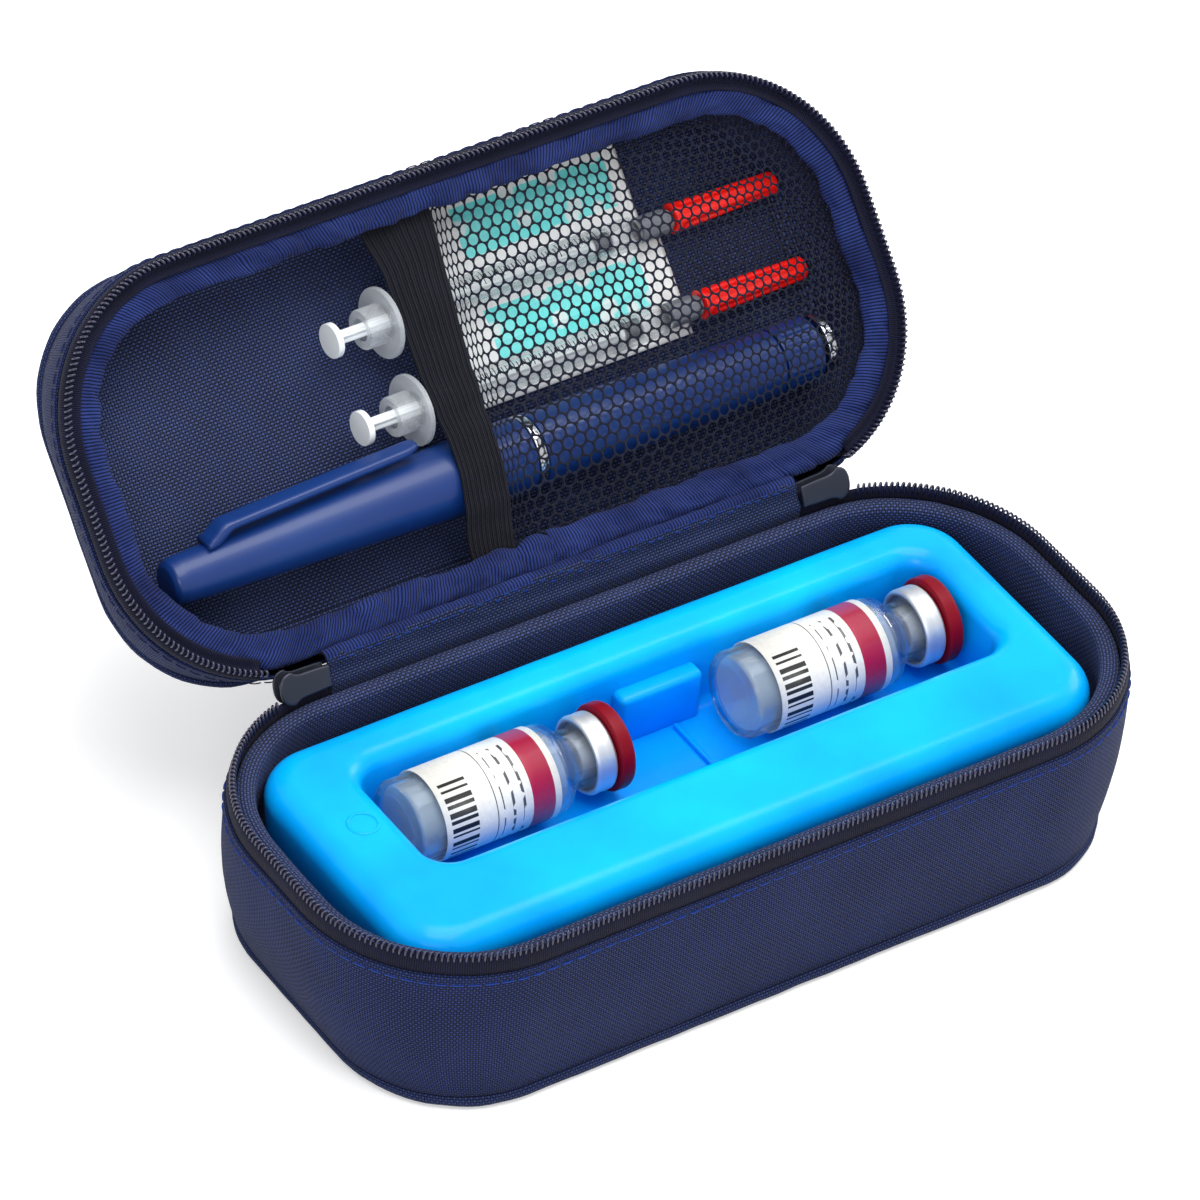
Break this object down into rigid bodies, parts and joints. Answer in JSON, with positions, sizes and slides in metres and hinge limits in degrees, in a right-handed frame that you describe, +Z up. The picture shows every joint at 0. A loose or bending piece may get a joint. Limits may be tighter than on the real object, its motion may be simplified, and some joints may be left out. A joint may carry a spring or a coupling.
{
  "type": "insulin cooling case",
  "caption": "Zipped soft case with a cooling tray and vials in its base, and a pen, syringes and sachets behind a net in its hinged lid.",
  "frame": {"origin": "centre of the bottom panel's underside", "axes": "+X along the case's length, to the right as seen from the open front; +Y towards the hinge at the back; +Z up"},
  "size_m": [0.2034, 0.1735, 0.115],
  "materials": {
    "outer_fabric": "woven",
    "piping": "woven",
    "lining": "woven",
    "foam": "matte",
    "binding": "ribbed",
    "zip_tape": "woven",
    "zip_teeth": "satin",
    "slider_metal": "semi-gloss",
    "elastic": "ribbed",
    "net": "mesh",
    "tray_plastic": "glossy",
    "vial_glass": "clear",
    "vial_liquid": "clear",
    "vial_label": "satin",
    "grey_rubber": "matte",
    "crimp_aluminium": "satin",
    "burgundy_plastic": "satin",
    "pen_plastic": "glossy",
    "pen_silver": "polished",
    "clear_plastic": "clear",
    "white_plastic": "satin",
    "black_rubber": "matte",
    "hub_plastic": "satin",
    "red_plastic": "glossy",
    "sachet_foil": "satin"
  },
  "bodies": {
    "base": {"base_bottom_panel": "outer_fabric", "base_piping": "piping", "base_side_band": "outer_fabric", "base_foam_liner": "foam", "base_lining": "lining", "base_zip_tape": "zip_tape", "base_zip_chain": "zip_teeth", "hinge_panel": "outer_fabric", "slider_left": "slider_metal", "slider_right": "slider_metal"},
    "lid": {"lid_top_panel": "outer_fabric", "lid_piping": "piping", "lid_side_band": "outer_fabric", "lid_foam_liner": "foam", "lid_lining": "lining", "lid_binding_ring": "binding", "lid_hinge_strip": "outer_fabric", "lid_zip_tape": "zip_tape", "lid_zip_chain": "zip_teeth", "elastic_band": "elastic", "net_pocket": "net", "sachet_upper": "sachet_foil", "sachet_lower": "sachet_foil", "pen_cap": "pen_plastic", "pen_clip": "pen_plastic", "pen_ring": "pen_silver", "pen_body": "pen_plastic", "syringe_upper_barrel": "clear_plastic", "syringe_upper_needle_hub": "hub_plastic", "syringe_upper_needle_cap": "red_plastic", "syringe_lower_barrel": "clear_plastic", "syringe_lower_needle_hub": "hub_plastic", "syringe_lower_needle_cap": "red_plastic"},
    "tray": {"ice_tray": "tray_plastic", "tray_plug": "tray_plastic"},
    "vial_left": {"vial_left_glass": "vial_glass", "vial_left_liquid": "vial_liquid", "vial_left_label": "vial_label", "vial_left_stopper": "grey_rubber", "vial_left_crimp_ring": "crimp_aluminium", "vial_left_flip_cap": "burgundy_plastic"},
    "vial_right": {"vial_right_glass": "vial_glass", "vial_right_liquid": "vial_liquid", "vial_right_label": "vial_label", "vial_right_stopper": "grey_rubber", "vial_right_crimp_ring": "crimp_aluminium", "vial_right_flip_cap": "burgundy_plastic"},
    "plunger_upper": {"syringe_upper_plunger": "white_plastic", "syringe_upper_seal": "black_rubber"},
    "plunger_lower": {"syringe_lower_plunger": "white_plastic", "syringe_lower_seal": "black_rubber"},
    "dose_knob": {"pen_dose_knob": "pen_plastic"},
    "dose_button": {"pen_dose_button": "pen_silver"},
    "tab_left": {"pull_tab_left": "slider_metal"},
    "tab_right": {"pull_tab_right": "slider_metal"}
  },
  "joints": [
    {"name": "lid_hinge", "type": "hinge", "parent": "base", "child": "lid", "pos_m": [0, 0.0466, 0.0464], "axis": [-1, 0, 0], "range_deg": [-133.7, 26.3]},
    {"name": "tray_lift", "type": "slide", "parent": "base", "child": "tray", "axis": [0, 0, 1], "range_m": [0, 0.06]},
    {"name": "vial_left_lift", "type": "slide", "parent": "tray", "child": "vial_left", "axis": [0, 0, 1], "range_m": [0, 0.03]},
    {"name": "vial_right_lift", "type": "slide", "parent": "tray", "child": "vial_right", "axis": [0, 0, 1], "range_m": [0, 0.03]},
    {"name": "plunger_upper_slide", "type": "slide", "parent": "lid", "child": "plunger_upper", "axis": [-0.9987, -0.0365, 0.0349], "range_m": [-0.0062, 0.04]},
    {"name": "plunger_lower_slide", "type": "slide", "parent": "lid", "child": "plunger_lower", "axis": [-0.9987, -0.0365, 0.0349], "range_m": [-0.0062, 0.04]},
    {"name": "dose_knob_turn", "type": "hinge", "parent": "lid", "child": "dose_knob", "pos_m": [0.07, 0.07261, 0.05944], "axis": [1, 0, 0], "range_deg": [0, 360]},
    {"name": "dose_button_press", "type": "slide", "parent": "dose_knob", "child": "dose_button", "axis": [-1, 0, 0], "range_m": [0, 0.0012], "stiffness_N_per_m": 800},
    {"name": "pull_tab_left_swing", "type": "hinge", "parent": "base", "child": "tab_left", "pos_m": [-0.0666, 0.048, 0.0366], "axis": [0, 1, 0], "range_deg": [-75, 75]},
    {"name": "pull_tab_right_swing", "type": "hinge", "parent": "base", "child": "tab_right", "pos_m": [0.0666, 0.048, 0.0366], "axis": [0, -1, 0], "range_deg": [-75, 75]}
  ]
}
